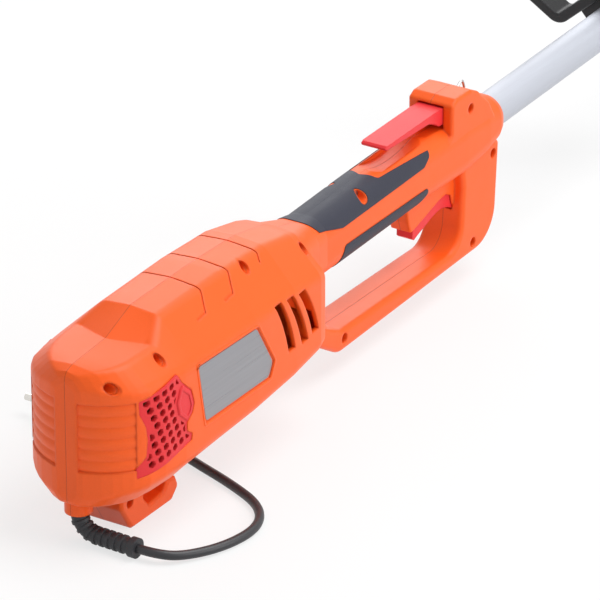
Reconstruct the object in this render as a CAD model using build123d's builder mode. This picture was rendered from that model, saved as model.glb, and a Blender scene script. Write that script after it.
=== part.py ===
from build123d import *
import os
from math import atan2, cos, degrees, radians, sin, sqrt, tan

os.makedirs("parts", exist_ok=True)

# Driving sizes in millimetres. X runs forward along the tube, Y to the left, Z up.
# X = 0 is where the tube leaves the handle, and the tube's axis is Y = Z = 0.
tube_r = 12.5
tube_wall = 1.5
tube_rear = -262.0
tube_front = 985.0

# Motor body
body_half = 46.0
body_rear = -512.5
roof_z = 45.0
rear_roof_z = 34.0
ridge_z = 20.0
flat_half = 20.0
roof_crown = 1.8
sole_z = -60.0
wall = 3.2

# Grip and D-frame
grip_half = 17.0
grip_top = 22.0
grip_bottom = -22.0
pad_depth = 1.6
pad_proud = 0.4
frame_half = 15.0
frame_bottom = -83.0

# Foot and cord hook
foot_x = -445.0
foot_z = -90.5
foot_half = 20.0

# Motor and drive
shaft_r = 4.0
bearing_r = 11.0
stator_r = 38.0
rotor_r = 22.9
air_gap = 0.6
drive_r = 3.5
run_gap = 0.06
free_gap = 0.3

# Front handle, rolled to the left about the tube
handle_x = 165.0
handle_deep = 22.0
handle_bar = 7.2
handle_roll = -41.5
handle_base = 17.8
handle_base_half = 37.0
handle_top_half = 68.0
handle_high = 104.0
clamp_x = 189.0
clamp_long = 25.0
sleeve_wall = 1.5

# Gear head and cutting head
head_tilt = 33.0
gear_ahead = 24.0
guard_r = 158.0
guard_skirt = 32.0
guard_wall = 3.0
guard_d = 26.0
spool_r = 51.0
spool_top = 46.0
bump_travel = 5.0
spindle_r = 5.0

# Mains lead
cord_r = 3.0
boot_r = 5.9
boot_x = -500.0
boss_r = 8.8
boss_z = -68.5
plug_high = 24.0
pin_r = 2.4
pin_long = 19.0
pin_pitch = 19.0

# The trimmer lies on the foot and on the rear rim of the guard.
gear_x = tube_front + gear_ahead
s_x = sin(radians(head_tilt))
s_z = -cos(radians(head_tilt))
rim_back = guard_r * cos(radians(14))
rim_d = guard_d + guard_wall + guard_skirt
rim_x = gear_x + s_x * rim_d + s_z * rim_back
rim_z = s_z * rim_d - s_x * rim_back
rest_tilt = atan2(foot_z - rim_z, rim_x - foot_x)
rest = Rot(Y=-degrees(rest_tilt)) * Pos(-foot_x, 0, -foot_z)


def floor_z(x):
    return foot_z - tan(rest_tilt) * (x - foot_x)


def save(piece, node):
    placed = rest * piece.part
    placed.label = node
    export_step(placed, "parts/" + node + ".step")


# Outline of the right half of the motor body on a plane that may lean forward with the distance
# from the seam, so that the steps of the roof run as a chevron.
def body_section(x, lean, top, flat, half, ridge, side, foot, sole, r, inset=0.0):
    grow = sqrt(1 + lean * lean)
    plane = Plane(origin=(x, 0, 0), x_dir=(-lean, 1, 0), z_dir=(1, lean, 0))
    with BuildSketch(plane) as section:
        with BuildLine():
            Polyline(
                (0, top - inset),
                (-(flat - 0.4 * inset) * grow, top - roof_crown - inset),
                (-(half - inset) * grow, ridge - 0.4 * inset),
                (-(half - inset) * grow, side + 0.4 * inset),
                (-(foot - 0.4 * inset) * grow, sole + inset),
                (0, sole + inset),
                close=True,
            )
        make_face()
        fillet(section.vertices().filter_by(lambda v: v.X < -0.5), max(r - inset, 1.0))
    return section.sketch


def grip_section(x, half, top, bottom, r, inset=0.0):
    with BuildSketch(Plane.YZ.offset(x)) as section:
        with BuildLine():
            Polyline(
                (0, top - inset),
                (-half + inset, top - inset),
                (-half + inset, bottom + inset),
                (0, bottom + inset),
                close=True,
            )
        make_face()
        fillet(section.vertices().filter_by(lambda v: v.X < -0.5), r - inset)
    return section.sketch


# Half width of the rounded rear end in plan
bow_x = body_rear + body_half


def bow(x):
    return sqrt(body_half ** 2 - (bow_x - x) ** 2)


rear_flat = flat_half + (roof_z - rear_roof_z) * (body_half - flat_half) / (roof_z - ridge_z)
y2 = bow(body_rear + 2.6)
y3 = bow(body_rear + 9)
y4 = bow(body_rear + 18)
y5 = bow(body_rear + 28)
stations = [
    (body_rear, 0, rear_roof_z - 9.0, 2.5, 7.0, rear_roof_z - 15.0, sole_z + 9, 3.0, sole_z + 4, 2.0),
    (
        body_rear + 0.9, 0, rear_roof_z - 5.4, 5.5, 11.0, rear_roof_z - 13.5, sole_z + 8, 6.0,
        sole_z + 2, 3.0,
    ),
    (
        body_rear + 2.6, 0, rear_roof_z - 3.0, y2 - 7, y2, rear_roof_z - 13.5, sole_z + 8, y2 - 8,
        sole_z + 0.6, 4,
    ),
    (body_rear + 9, 0, rear_roof_z - 1.0, y3 - 11, y3, rear_roof_z - 15, sole_z + 10, y3 - 10, sole_z, 6),
    (
        body_rear + 18, 0, rear_roof_z - 0.6, rear_flat - 8, y4, rear_roof_z - 16, sole_z + 12, y4 - 11,
        sole_z, 8,
    ),
    (
        body_rear + 28, 0, rear_roof_z - 0.2, rear_flat - 5, y5, rear_roof_z - 16, sole_z + 13, y5 - 12,
        sole_z, 9,
    ),
    (
        -468, 0.38, rear_roof_z + 0.6, rear_flat - 3, body_half, ridge_z - 2, sole_z + 14, body_half - 12,
        sole_z, 10,
    ),
    (-440, 0.0, roof_z, flat_half, body_half, ridge_z - 2, sole_z + 14, body_half - 12, sole_z + 1, 10),
    (
        -373, 0.1, roof_z - 0.4, flat_half + 1, body_half, ridge_z - 4.5, sole_z + 15, body_half - 12,
        sole_z + 3, 10,
    ),
    (
        -321, 0.0, roof_z - 3, flat_half + 1, body_half - 1, ridge_z - 6.5, sole_z + 17, body_half - 13,
        sole_z + 6, 10,
    ),
    (
        -289, 0.0, roof_z - 9.5, flat_half, body_half - 2.6, ridge_z - 9, sole_z + 20, body_half - 15,
        sole_z + 9, 10,
    ),
    (
        -281, 0.0, roof_z - 12, flat_half - 1, body_half - 4.6, ridge_z - 11, sole_z + 21, body_half - 17,
        sole_z + 11, 9,
    ),
    (
        -277, 0.0, roof_z - 14.5, flat_half - 3, body_half - 8, ridge_z - 13, sole_z + 23, body_half - 20,
        sole_z + 14, 8,
    ),
    (
        -275.5, 0.0, roof_z - 18, flat_half - 5, body_half - 13, ridge_z - 16, sole_z + 26,
        body_half - 24, sole_z + 18, 6,
    ),
]


def between(a, b, x):
    t = (x - a[0]) / (b[0] - a[0])
    row = [u + (v - u) * t for u, v in zip(a, b)]
    grown = bow(x) - row[4]
    row[0] = x
    row[3] += 0.5 * grown
    row[4] += grown
    row[7] += grown
    return tuple(row)


for spot, x in ((5, -478.0), (4, body_rear + 22.5), (3, body_rear + 13), (2, body_rear + 5.4)):
    stations.insert(spot + 1, between(stations[spot], stations[spot + 1], x))
body_faces = [body_section(*row) for row in stations]

# Inner room of the motor body, in bays between the bulkheads
rear_wall = (-474.0, -463.0)
front_wall = (-308.0, -297.0)
core_front = -370.0
core_rear = -420.0


def room_face(x, inset):
    rows = stations
    for a, b in zip(rows, rows[1:]):
        if a[0] <= x <= b[0]:
            t = (x - a[0]) / (b[0] - a[0])
            row = [u + (v - u) * t for u, v in zip(a, b)]
            break
    row[0] = x
    row[1] = 0.0
    return body_section(*row, inset=inset)


bays = [
    (-503, -494, -484, rear_wall[0]),
    (rear_wall[1], -440, core_rear - 1),
    (core_rear + 3, -390, core_front - 3),
    (core_front + 1, -345, front_wall[0]),
    (front_wall[1], -289, -282),
]
bay_faces = [
    [room_face(x, wall + 0.4 if x == rear_wall[1] else wall) for x in bay] for bay in bays
]

# Grip sections from the motor body to the collar
grip_rows = [
    (-286, 31.0, 30.0, -32.0, 14),
    (-268, 24.5, 25.5, -27.0, 14),
    (-252, 19.5, 22.0, -23.5, 14),
    (-238, grip_half, grip_top - 1, grip_bottom, 14),
    (-174, grip_half, grip_top, grip_bottom, 14),
    (-110, grip_half, grip_top, grip_bottom, 14),
    (-60, grip_half + 0.8, grip_top - 1, grip_bottom - 1, 14),
    (-30, grip_half + 0.8, grip_top - 2.6, grip_bottom + 2, 14),
    (-14, grip_half, tube_r + 4.4, -tube_r - 4.4, 14),
    (-9, tube_r + 3.0, tube_r + 3.0, -tube_r - 3.0, 14),
]
grip_faces = [grip_section(*row) for row in grip_rows]
pad_rows = [row for row in grip_rows if -270 < row[0] < -50]
pad_out = [grip_section(*row, inset=-pad_proud) for row in pad_rows]
pad_in = [grip_section(*row, inset=pad_depth) for row in pad_rows]


# Rubber pads let into the right side of the grip, the upper one round the ring of a screw
ring_spot = (-189.5, 17.0)
with BuildSketch(Plane.XZ) as upper_side:
    with BuildLine():
        Polyline(
            (-256, 30), (-246, 16), (-219, 8.5), (-117, 9.0), (-108, 14), (-106, 24), (-112, 30),
            close=True,
        )
    make_face()
    fillet(upper_side.vertices().filter_by(lambda v: v.Y < 15), 5)
with BuildSketch(Plane.XZ) as lower_side:
    with BuildLine():
        Polyline((-226, -30), (-216, -5.5), (-106, -8), (-121, -20.5), (-127, -30), close=True)
    make_face()
    fillet(lower_side.vertices().filter_by(lambda v: v.Y > -15), 3)
with BuildSketch(Plane.XY) as dish_plan:
    with BuildLine():
        Polyline((-171, 0), (-166, -11), (-98, -14.5), (-98, 0), close=True)
    make_face()
    fillet(dish_plan.vertices().filter_by(lambda v: v.Y < -5), 4)

with BuildPart() as grip_pad_upper_right:
    loft(pad_out, ruled=True)
    loft(pad_in, ruled=True, mode=Mode.SUBTRACT)
    extrude(upper_side.sketch, amount=40, mode=Mode.INTERSECT)
    extrude(dish_plan.sketch, amount=40, mode=Mode.SUBTRACT)
    with BuildSketch(Plane.XZ.offset(4)):
        with Locations(ring_spot):
            Circle(4.4)
    extrude(amount=40, mode=Mode.SUBTRACT)

with BuildPart() as grip_pad_lower_right:
    loft(pad_out, ruled=True)
    loft(pad_in, ruled=True, mode=Mode.SUBTRACT)
    extrude(lower_side.sketch, amount=40, mode=Mode.INTERSECT)

with BuildPart() as grip_pad_upper_left:
    mirror(grip_pad_upper_right.part, about=Plane.XZ)

with BuildPart() as grip_pad_lower_left:
    mirror(grip_pad_lower_right.part, about=Plane.XZ)

# Red vent grille that follows the rounded rear corner
grille_thick = 3.4
with BuildSketch(Plane.XY.offset(-42)) as grille_plan:
    with BuildLine():
        Line((bow_x + 32, -body_half + 0.5), (bow_x, -body_half + 0.5))
        CenterArc((bow_x, 0), body_half - 0.5, 270, -65)
        Line(
            (bow_x - (body_half - 0.5) * sin(radians(65)), -(body_half - 0.5) * cos(radians(65))),
            (
                bow_x - (body_half - grille_thick) * sin(radians(65)),
                -(body_half - grille_thick) * cos(radians(65)),
            ),
        )
        CenterArc((bow_x, 0), body_half - grille_thick, 205, 65)
        Line((bow_x, -body_half + grille_thick), (bow_x + 32, -body_half + grille_thick))
        Line((bow_x + 32, -body_half + grille_thick), (bow_x + 32, -body_half + 0.5))
    make_face()
with BuildSketch(Plane.XZ) as grille_side:
    with BuildLine():
        Polyline(
            (-491.2, 12.2), (-459, 18), (-454.2, 11), (-443.8, 1.4), (-440.6, -8.6), (-443, -14.8),
            (-448.8, -19), (-448.8, -24.6), (-443.2, -28.6), (-444.2, -33), (-492.8, -40), (-492.4, -32),
            (-487, -26.4), (-486, -15), (-487, -6), (-490.8, 3.2), close=True,
        )
    make_face()
    fillet(grille_side.vertices(), 1.2)
# Smooth six-sided boss at the front of the grille
with BuildSketch(Plane.XZ.offset(body_half - 0.5)) as boss_side:
    with BuildLine():
        Polyline(
            (-453.8, 8.6), (-445, 1.0), (-442, -8.4), (-444, -13.8), (-449.2, -17.4), (-458, -9.6),
            (-460, -1), (-456.4, 7), close=True,
        )
    make_face()
hex_r = 2.6
hex_step = 7.0
hex_turn = radians(9)
hex_spots = []
for row in range(9):
    for col in range(-2, 11):
        along = hex_step * (col + (row * 0.5))
        across = hex_step * sin(radians(60)) * row
        hex_spots.append((
            -486 + (along - 2 * row) * cos(hex_turn) + across * sin(hex_turn),
            9.5 + (along - 2 * row) * sin(hex_turn) - across * cos(hex_turn),
        ))
with BuildSketch(Plane.XZ) as hex_cells:
    with Locations(*hex_spots):
        RegularPolygon(hex_r, 6, rotation=39)
    with BuildSketch(Plane.XZ, mode=Mode.INTERSECT):
        offset(grille_side.sketch, amount=-2.0)
    with BuildSketch(Plane.XZ, mode=Mode.SUBTRACT):
        with BuildLine():
            Polyline(
                (-452, 12), (-440, 3), (-438, -10), (-448, -21), (-460.4, -10.4), (-462.4, -1), (-458, 9),
                close=True,
            )
        make_face()
hex_faces = [cell for cell in hex_cells.sketch.faces() if cell.area > 4.5]
with BuildPart() as vent_grille_right:
    extrude(grille_plan.sketch, amount=62)
    extrude(grille_side.sketch, amount=60, mode=Mode.INTERSECT)
    extrude(hex_faces, amount=60, dir=(0, -1, 0), mode=Mode.SUBTRACT)
    extrude(boss_side.sketch, amount=1.0)
    chamfer(vent_grille_right.faces().sort_by(Axis.Y)[0].edges(), 0.6)
    with BuildSketch(Plane.XZ.offset(body_half)):
        offset(boss_side.sketch, amount=-2.6)
    extrude(amount=1, mode=Mode.SUBTRACT)

with BuildPart() as vent_grille_left:
    mirror(vent_grille_right.part, about=Plane.XZ)

# Strap eye of bent wire in the front slope of the lever block
eye_wire = 0.9
with BuildLine() as eye_line:
    FilletPolyline(
        (-49.5, 0, 24), (-45.5, 0, 34), (-38.5, 0, 38), (-35.5, 0, 31), (-39, 0, 20.5), radius=2.6,
    )
with BuildPart() as strap_eye:
    with BuildSketch(Plane(origin=eye_line.line @ 0, z_dir=eye_line.line % 0)):
        Circle(eye_wire)
    sweep(path=eye_line.line)
with BuildPart() as eye_room:
    with BuildSketch(Plane(origin=eye_line.line @ 0, z_dir=eye_line.line % 0)):
        Circle(eye_wire + run_gap)
    sweep(path=eye_line.line)

# Lock-off lever and trigger pivots, in the plane of the seam
lever_x = -76.0
lever_z = 28.5
lever_half = 9.5
pivot_r = 2.0
trigger_x = -55.5
trigger_z = -27.0
trigger_half = 6.0
shroud_half = trigger_half + 1.7

# One half of the housing, right-hand, before the pieces that differ
with BuildSketch(Plane.XZ) as block_side:
    with BuildLine():
        Polyline(
            (-95, 5), (-80, 17), (-80, 38), (-74, 41), (-55, 40.5), (-45, 35.5), (-30, 22), (-20, 5),
            close=True,
        )
    make_face()
    fillet(block_side.vertices().filter_by(lambda v: v.Y > 20), 2.5)
with BuildSketch(Plane.XZ) as frame_side:
    with BuildLine():
        Polyline(
            (-288, -34), (-288, -47), (-262, -56), (-219, frame_bottom), (-17, frame_bottom),
            (-12.5, -14), (-24, 0), (-64, 0), (-60, -30), (-63, -73.5), (-216, -67.5), (-258, -47),
            close=True,
        )
    make_face()
    fillet(frame_side.vertices().filter_by(lambda v: v.X > -20 and v.Y < -50), 26)
    fillet(frame_side.vertices().filter_by(lambda v: -66 < v.X < -62 and v.Y < -50), 17)
    fillet(frame_side.vertices().filter_by(lambda v: -222 < v.X < -210), 14)
    fillet(frame_side.vertices().filter_by(lambda v: -264 < v.X < -256), 10)
    fillet(frame_side.vertices().filter_by(lambda v: v.X > -14 and v.Y > -20), 4)
with BuildSketch(Plane.XZ) as shroud_side:
    with BuildLine():
        Polyline(
            (-124, -14), (-120, -33), (-117, -41), (-112, -40.6), (-80, -32.6), (-71, -31.8),
            (-64.5, -35), (-61.8, -43), (-54, -47), (-50, -14), close=True,
        )
    make_face()
    fillet(shroud_side.vertices().filter_by(lambda v: v.X < -110 and v.Y < -40), 1.6)
with BuildSketch(Plane.XZ) as hook_side:
    with BuildLine():
        Polyline(
            (-484, -50), (-483, -72), (-472, floor_z(-472)), (-427, floor_z(-427)), (-418.5, -83),
            (-421.5, -76), (-431, -74), (-435.5, -80.5), (-452, -81.5), (-458, -74), (-452, -50), close=True,
        )
    make_face()
    fillet(hook_side.vertices().filter_by(lambda v: v.X > -428 and v.Y < -80), 5)
    fillet(hook_side.vertices().filter_by(lambda v: v.X > -432 and -78 < v.Y < -72), 2.4)
    fillet(hook_side.vertices().filter_by(lambda v: -460 < v.X < -434 and -82 < v.Y < -70), 2.4)
    fillet(hook_side.vertices().filter_by(lambda v: v.X < -470 and v.Y < -60), 5)
vent_rows = [(-343, 14.5, -326.5, -24), (-328.5, 13, -310, -25.5), (-314, 11, -296.5, -24)]
vent_half = 4.2
rib_top = 11.5
rib_step = 7.6
rib_deep = 1.35
rib_crown = 0.45
boss_spots = [
    (-213, -74), (-47, -75), (-21.5, -19.5), (-56, 27.5), (-474, -70), (-462, 26.5), (-349, 37.5),
    (-285, 24),
    (-501, 22), ring_spot,
]
post_rows = [(-462, 26.5, 26), (-349, 37.5, 16.5), (-285, 24, 22), (-501, 22, 17)]
post_r = 4.2

# Thin grooves that cross the roof and turn back down its shoulder
roof_skin = [body_section(*row, inset=0.7) for row in stations]
groove_long = [(0, 6), (0, -21.7), (-8.6, -30.7), (-19, -31.4)]
groove_short = [(0, 6), (0, -21.7), (-3.5, -26)]
with BuildPart() as roof_lines:
    for gx, path in ((-395.6, groove_long), (-364.4, groove_long), (-330.7, groove_short)):
        with BuildSketch(Plane.XY.offset(20)):
            with BuildLine():
                Polyline(*[(gx + dx, y) for dx, y in path])
            trace(line_width=1.1)
        extrude(amount=40)
    loft(roof_skin, ruled=True, mode=Mode.SUBTRACT)

with BuildPart() as block_half_part:
    extrude(block_side.sketch, amount=grip_half)
    fillet(block_half_part.faces().sort_by(Axis.Y)[0].edges(), 2.2)

with BuildPart() as shroud_half_part:
    extrude(shroud_side.sketch, amount=shroud_half)
    fillet(shroud_half_part.faces().sort_by(Axis.Y)[0].edges(), 1.1)

with BuildPart() as hook_half_part:
    extrude(hook_side.sketch, amount=foot_half)
    chamfer(hook_half_part.faces().sort_by(Axis.Y)[0].edges(), 1.8)

with BuildPart() as housing_half:
    loft(body_faces, ruled=True)
    # Broad rounded ribs round the rear end, either side of a smooth centre band
    rib_from = radians(190)
    rib_plane = Plane(
        origin=(bow_x, 0, 0), x_dir=(cos(rib_from), sin(rib_from), 0),
        z_dir=(sin(rib_from), -cos(rib_from), 0),
    )
    with BuildSketch(rib_plane):
        with BuildLine():
            for k in range(6):
                ThreePointArc(
                    (body_half - rib_deep, rib_top - rib_step * k),
                    (body_half - rib_crown, rib_top - rib_step * (k + 0.5)),
                    (body_half - rib_deep, rib_top - rib_step * (k + 1)),
                )
            Line(
                (body_half - rib_deep, rib_top - 6 * rib_step),
                (body_half + 3, rib_top - 6 * rib_step - 1.5),
            )
            Line((body_half + 3, rib_top - 6 * rib_step - 1.5), (body_half + 3, rib_top + 1.5))
            Line((body_half + 3, rib_top + 1.5), (body_half - rib_deep, rib_top))
        make_face()
    revolve(axis=Axis((bow_x, 0, 0), (0, 0, 1)), revolution_arc=45.5, mode=Mode.SUBTRACT)
    add(roof_lines.part, mode=Mode.SUBTRACT)
    for faces in bay_faces:
        loft(faces, ruled=True, mode=Mode.SUBTRACT)
    for x0, z0, deep in post_rows:
        with BuildSketch(Plane.XZ):
            with Locations((x0, z0)):
                Circle(post_r)
        extrude(amount=deep)
    loft(grip_faces, ruled=True)
    add(block_half_part.part)
    add(shroud_half_part.part)
    add(hook_half_part.part)
    with BuildSketch(Plane.XY.offset(sole_z + 3)):
        with Locations((boot_x, 0)):
            Circle(boss_r)
        with Locations((boot_x, 20)):
            Rectangle(40, 40, mode=Mode.SUBTRACT)
    extrude(amount=boss_z - sole_z - 3)

with BuildPart() as frame_half_part:
    extrude(frame_side.sketch, amount=frame_half)
    fillet(frame_half_part.faces().sort_by(Axis.Y)[0].edges(), 3.6)

with BuildPart() as housing_shell:
    add(housing_half.part)
    add(frame_half_part.part)
    # Bores for the motor, the tube and the lead
    with BuildSketch(Plane.YZ.offset(core_rear - 6)):
        Circle(stator_r + run_gap)
    extrude(amount=core_front - core_rear + 12, mode=Mode.SUBTRACT)
    with BuildSketch(Plane.YZ.offset(rear_wall[0] + 2)):
        Circle(bearing_r + run_gap)
    extrude(amount=10, mode=Mode.SUBTRACT)
    with BuildSketch(Plane.YZ.offset(front_wall[0] - 1)):
        Circle(bearing_r + run_gap)
    extrude(amount=20, mode=Mode.SUBTRACT)
    with BuildSketch(Plane.YZ.offset(-290)):
        Circle(bearing_r)
    extrude(amount=290 + tube_rear, mode=Mode.SUBTRACT)
    with BuildSketch(Plane.YZ.offset(tube_rear)):
        Circle(tube_r + run_gap)
    extrude(amount=-tube_rear + 10, mode=Mode.SUBTRACT)
    with BuildSketch(Plane.XY.offset(sole_z + wall + 6)):
        with Locations((boot_x, 0)):
            Circle(boot_r + run_gap)
    extrude(amount=-24, mode=Mode.SUBTRACT)
    # Room for the lever, the trigger and the switch
    with BuildSketch(Plane.XZ):
        with BuildLine():
            Polyline((-100, 21), (-67, 19.5), (-67, 36.6), (-100, 36.6), close=True)
        make_face()
    extrude(amount=lever_half + free_gap, mode=Mode.SUBTRACT)
    with BuildSketch(Plane.XZ):
        with Locations((lever_x, lever_z)):
            Circle(pivot_r + run_gap)
        with Locations((trigger_x, trigger_z)):
            Circle(pivot_r + run_gap)
    extrude(amount=13, mode=Mode.SUBTRACT)
    with BuildSketch(Plane.XZ):
        with BuildLine():
            Polyline(
                (-114.8, -52), (-114.5, -16), (-50, -16), (-50, -46.4), (-62.5, -47.2), (-64, -52),
                close=True,
            )
        make_face()
    extrude(amount=trigger_half + 0.4, mode=Mode.SUBTRACT)
    with BuildSketch(Plane.XZ):
        with Locations((-41.5, -44)):
            Rectangle(17, 30)
    extrude(amount=8.5, mode=Mode.SUBTRACT)
    # Orange scoop under the lever
    with BuildSketch(Plane.XZ):
        with BuildLine():
            ThreePointArc((-168, grip_top + 2), (-134, grip_top - 4.5), (-98, grip_top + 2))
            Line((-98, grip_top + 2), (-168, grip_top + 2))
        make_face()
    extrude(amount=9, mode=Mode.SUBTRACT)
    add(eye_room.part, mode=Mode.SUBTRACT)
    add(grip_pad_upper_right.part, mode=Mode.SUBTRACT)
    add(grip_pad_lower_right.part, mode=Mode.SUBTRACT)
    # Vents and the opening for the grille
    extrude(grille_side.sketch, amount=60, mode=Mode.SUBTRACT)
    for x1, z1, x2, z2 in vent_rows:
        xm = 0.5 * (x1 + x2) + 2.0
        zm = 0.5 * (z1 + z2)
        with BuildSketch(Plane.XZ.offset(30)):
            with BuildLine():
                ThreePointArc((x1 - vent_half, z1), (xm - vent_half, zm), (x2 - vent_half, z2))
                Line((x2 - vent_half, z2), (x2 + vent_half, z2))
                ThreePointArc((x2 + vent_half, z2), (xm + vent_half, zm), (x1 + vent_half, z1))
                Line((x1 + vent_half, z1), (x1 - vent_half, z1))
            make_face()
        extrude(amount=30, mode=Mode.SUBTRACT)

with BuildPart() as housing_left:
    mirror(housing_shell.part, about=Plane.XZ)

# The right half takes the screws from outside and carries the recess of the rating plate.
head_r = 3.2
head_deep = 6.0
screw_r = 1.6
with BuildPart() as housing_right:
    add(housing_shell.part)
    with BuildSketch(Plane.XZ.offset(head_deep)):
        with Locations(*boss_spots):
            Circle(head_r + free_gap)
    extrude(amount=60, mode=Mode.SUBTRACT)
    with BuildSketch(Plane.XZ):
        with Locations(*boss_spots):
            Circle(screw_r + run_gap)
    extrude(amount=head_deep, mode=Mode.SUBTRACT)
    with BuildSketch(Plane.XZ.offset(body_half - 1.0)):
        with BuildLine():
            Polyline((-436, 13.5), (-368, 10.5), (-349, -21), (-354, -31), (-428, -29), close=True)
        make_face()
    extrude(amount=6, mode=Mode.SUBTRACT)

with BuildPart() as housing_screws:
    with BuildSketch(Plane.XZ.offset(head_deep)):
        with Locations(*boss_spots):
            Circle(head_r)
    extrude(amount=2.4)
    with BuildSketch(Plane.XZ):
        with Locations(*boss_spots):
            Circle(screw_r)
    extrude(amount=head_deep)
    with BuildSketch(Plane.XZ.offset(head_deep + 1.1)):
        with Locations(*boss_spots):
            Rectangle(4.0, 0.9)
            Rectangle(0.9, 4.0)
    extrude(amount=2, mode=Mode.SUBTRACT)

# Lock-off lever with its pin
with BuildPart() as lock_lever:
    with BuildSketch(Plane.XZ) as lever_side:
        with BuildLine():
            Polyline(
                (-72, 34.6), (-90, 35.9), (-151.5, 36.4), (-153.5, 35.2), (-152.5, 33.6),
                (-99, 31.0), (-91, 28.2), (-85, 24.0), (-72, 23.4), close=True,
            )
        make_face()
        fillet(lever_side.vertices().filter_by(lambda v: -101 < v.X < -71), 1.6)
        with Locations((lever_x, lever_z)):
            Circle(6.2)
            Circle(pivot_r + run_gap, mode=Mode.SUBTRACT)
    extrude(amount=lever_half, both=True)
    fillet(lock_lever.edges().filter_by(Axis.Z, tolerance=80).filter_by(lambda e: e.center().X < -150), 0.8)

with BuildPart() as lever_pin:
    with BuildSketch(Plane.XZ):
        with Locations((lever_x, lever_z)):
            Circle(pivot_r)
    extrude(amount=13, both=True)

# Trigger with its pin
with BuildPart() as trigger:
    with BuildSketch(Plane.XZ) as trigger_side:
        with BuildLine():
            Polyline((-55.5, -22.4), (-106, -22.2), (-111.5, -26), (-112.2, -47.6), (-110, -49.4))
            Spline(
                (-110, -49.4), (-97, -45.4), (-85.5, -42.2), (-74.5, -41.2), (-61.5, -45.8),
                tangents=[(1, 0.45), (1, -0.6)],
            )
            Polyline((-61.5, -45.8), (-55, -44.5), (-52, -34), (-55.5, -22.4))
        make_face()
        with Locations((trigger_x, trigger_z)):
            Circle(5.0)
            Circle(pivot_r + run_gap, mode=Mode.SUBTRACT)
    extrude(amount=trigger_half, both=True)

with BuildPart() as trigger_pin:
    with BuildSketch(Plane.XZ):
        with Locations((trigger_x, trigger_z)):
            Circle(pivot_r)
    extrude(amount=13, both=True)

with BuildPart() as power_switch:
    with BuildSketch(Plane.XZ):
        with Locations((-41.5, -44)):
            Rectangle(17, 30)
    extrude(amount=8.5, both=True)

# Motor
with BuildPart() as stator_core:
    with BuildSketch(Plane.YZ.offset(core_rear)):
        Circle(stator_r)
        Circle(rotor_r + air_gap, mode=Mode.SUBTRACT)
    extrude(amount=core_front - core_rear)

with BuildPart() as field_windings:
    for x0, out in ((core_rear, -12), (core_front, 12)):
        with BuildSketch(Plane.YZ.offset(x0)):
            Circle(stator_r - 3.5)
            Circle(rotor_r + air_gap + 0.6, mode=Mode.SUBTRACT)
        extrude(amount=out)
    fillet(
        field_windings.edges().filter_by(
            lambda e: e.center().X < core_rear - 11 or e.center().X > core_front + 11,
        ),
        3,
    )

with BuildPart() as armature_core:
    with BuildSketch(Plane.YZ.offset(core_rear)):
        Circle(rotor_r)
        with PolarLocations(rotor_r, 12):
            Rectangle(3.0, 1.8, mode=Mode.SUBTRACT)
        Circle(shaft_r, mode=Mode.SUBTRACT)
    extrude(amount=core_front - core_rear)
    for x0, out in ((core_rear, -9), (core_front, 9)):
        with BuildSketch(Plane.YZ.offset(x0)):
            Circle(rotor_r - 4)
            Circle(shaft_r, mode=Mode.SUBTRACT)
        extrude(amount=out)

with BuildPart() as commutator:
    with BuildSketch(Plane.YZ.offset(-455)):
        Circle(12)
        Circle(shaft_r, mode=Mode.SUBTRACT)
    extrude(amount=17)

with BuildPart() as motor_shaft:
    with BuildSketch(Plane.YZ.offset(rear_wall[0] + 2.4)):
        Circle(shaft_r)
    extrude(amount=-278 - rear_wall[0] - 2.4)

with BuildPart() as cooling_fan:
    with BuildSketch(Plane.YZ.offset(-344)):
        Circle(35)
        Circle(shaft_r, mode=Mode.SUBTRACT)
    extrude(amount=2)
    with BuildSketch(Plane.YZ.offset(-342)):
        Circle(10)
        Circle(shaft_r, mode=Mode.SUBTRACT)
        with PolarLocations(21.5, 9):
            Rectangle(26, 2.2)
    extrude(amount=16)

with BuildPart() as rear_bearing:
    with BuildSketch(Plane.YZ.offset(rear_wall[0] + 2)):
        Circle(bearing_r)
        Circle(shaft_r + run_gap, mode=Mode.SUBTRACT)
    extrude(amount=7)

with BuildPart() as front_bearing:
    with BuildSketch(Plane.YZ.offset(front_wall[0] + 2)):
        Circle(bearing_r)
        Circle(shaft_r + run_gap, mode=Mode.SUBTRACT)
    extrude(amount=7)

with BuildPart() as brush_holder_right:
    with BuildSketch(Plane.XZ.offset(12 + free_gap)):
        with Locations((-446.5, 0)):
            Rectangle(11, 12)
    extrude(amount=body_half - grille_thick - 12 - free_gap)

with BuildPart() as brush_holder_left:
    mirror(brush_holder_right.part, about=Plane.XZ)

with BuildPart() as shaft_coupling:
    with BuildSketch(Plane.YZ.offset(-289)):
        Circle(9)
        Circle(shaft_r, mode=Mode.SUBTRACT)
    extrude(amount=11)
    with BuildSketch(Plane.YZ.offset(-278)):
        Circle(9)
        Circle(drive_r, mode=Mode.SUBTRACT)
    extrude(amount=12)

# Tube, drive shaft and its bushes
with BuildPart() as main_tube:
    with BuildSketch(Plane.YZ.offset(tube_rear)):
        Circle(tube_r)
        Circle(tube_r - tube_wall, mode=Mode.SUBTRACT)
    extrude(amount=tube_front - tube_rear)

pinion_back = gear_x - 13.0
with BuildPart() as drive_shaft:
    with BuildSketch(Plane.YZ.offset(-278)):
        Circle(drive_r)
    extrude(amount=pinion_back + 9 + 278)

bush_long = 18.0
with BuildPart() as shaft_bushes:
    for k in range(5):
        x0 = tube_rear + 20 + k * (tube_front - tube_rear - 60) / 4
        with BuildSketch(Plane.YZ.offset(x0)):
            Circle(tube_r - tube_wall)
            Circle(drive_r + run_gap, mode=Mode.SUBTRACT)
        extrude(amount=bush_long)

# Front handle in its own upright frame: u to the left, v away from the tube, rolled about the tube
roll_c = cos(radians(handle_roll))
roll_s = sin(radians(handle_roll))


def handle_plane(x):
    return Plane(origin=(x, 0, 0), x_dir=(0, roll_c, roll_s), z_dir=(1, 0, 0))


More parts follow.
